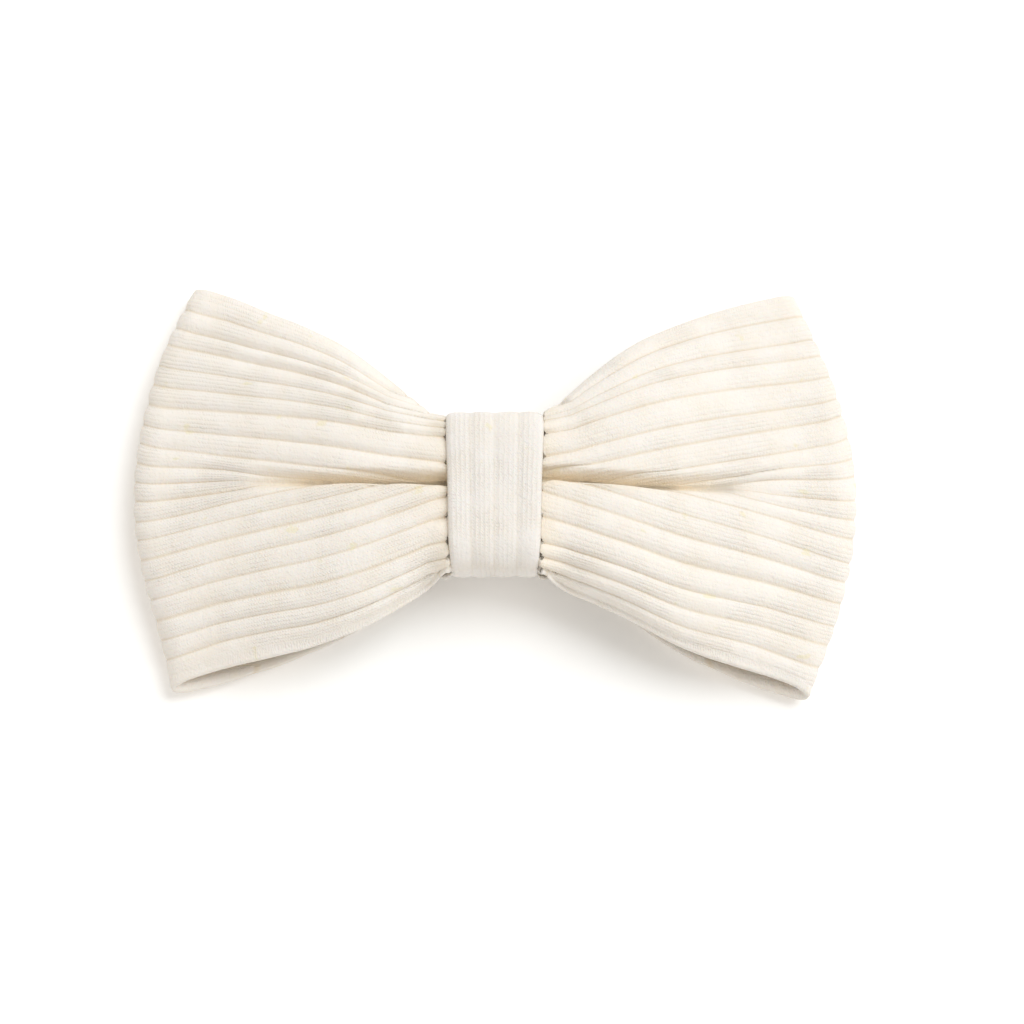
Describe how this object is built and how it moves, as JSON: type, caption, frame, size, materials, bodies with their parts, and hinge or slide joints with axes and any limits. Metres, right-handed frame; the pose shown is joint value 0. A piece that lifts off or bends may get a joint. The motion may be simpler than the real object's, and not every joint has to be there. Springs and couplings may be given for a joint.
{
  "type": "bow tie",
  "caption": "Ready-tied rib-knit bow tie: a folded loop gathered by a knot band, with a sprung two-jaw collar clip at the back.",
  "frame": {"origin": "centre of the bounding box on the plane that the tie lies on", "axes": "+X along the bow to the viewer's right, +Y up as the tie is worn, +Z out of the front; the tie lies on its back"},
  "size_m": [0.12, 0.069, 0.0183],
  "materials": {
    "rib_knit": "matte cream rib knit",
    "interlining": "matte non-woven",
    "sewing_thread": "matte spun thread",
    "nickel_steel": "nickel-plated pressed sheet",
    "pin_steel": "bright drawn wire",
    "spring_steel": "drawn spring wire",
    "grip_rubber": "matte moulded rubber"
  },
  "bodies": {
    "root": {"bow_loop": "rib_knit", "bow_interlining": "interlining", "bow_end_seam": "sewing_thread", "gathering_thread": "sewing_thread", "knot_band": "rib_knit", "knot_interlining": "interlining", "knot_closing_stitches": "sewing_thread", "clip_bar": "nickel_steel", "clip_tacking_stitches": "sewing_thread", "left_bar_pad": "grip_rubber", "right_bar_pad": "grip_rubber", "left_hinge_pin": "pin_steel", "right_hinge_pin": "pin_steel", "left_torsion_spring": "spring_steel", "right_torsion_spring": "spring_steel"},
    "left_jaw": {"left_jaw_lever": "nickel_steel", "left_jaw_pad": "grip_rubber"},
    "right_jaw": {"right_jaw_lever": "nickel_steel", "right_jaw_pad": "grip_rubber"}
  },
  "joints": [
    {"name": "left_jaw_hinge", "type": "hinge", "parent": "root", "child": "left_jaw", "pos_m": [-0.015, -0.0034, 0.0026], "axis": [0, -1, 0], "range_deg": [0, 30], "stiffness_Nm_per_rad": 0.012, "springref_deg": -22.92, "deforming": ["left_torsion_spring"]},
    {"name": "right_jaw_hinge", "type": "hinge", "parent": "root", "child": "right_jaw", "pos_m": [0.015, -0.0034, 0.0026], "axis": [0, 1, 0], "range_deg": [0, 30], "stiffness_Nm_per_rad": 0.012, "springref_deg": -22.92, "deforming": ["right_torsion_spring"]}
  ]
}
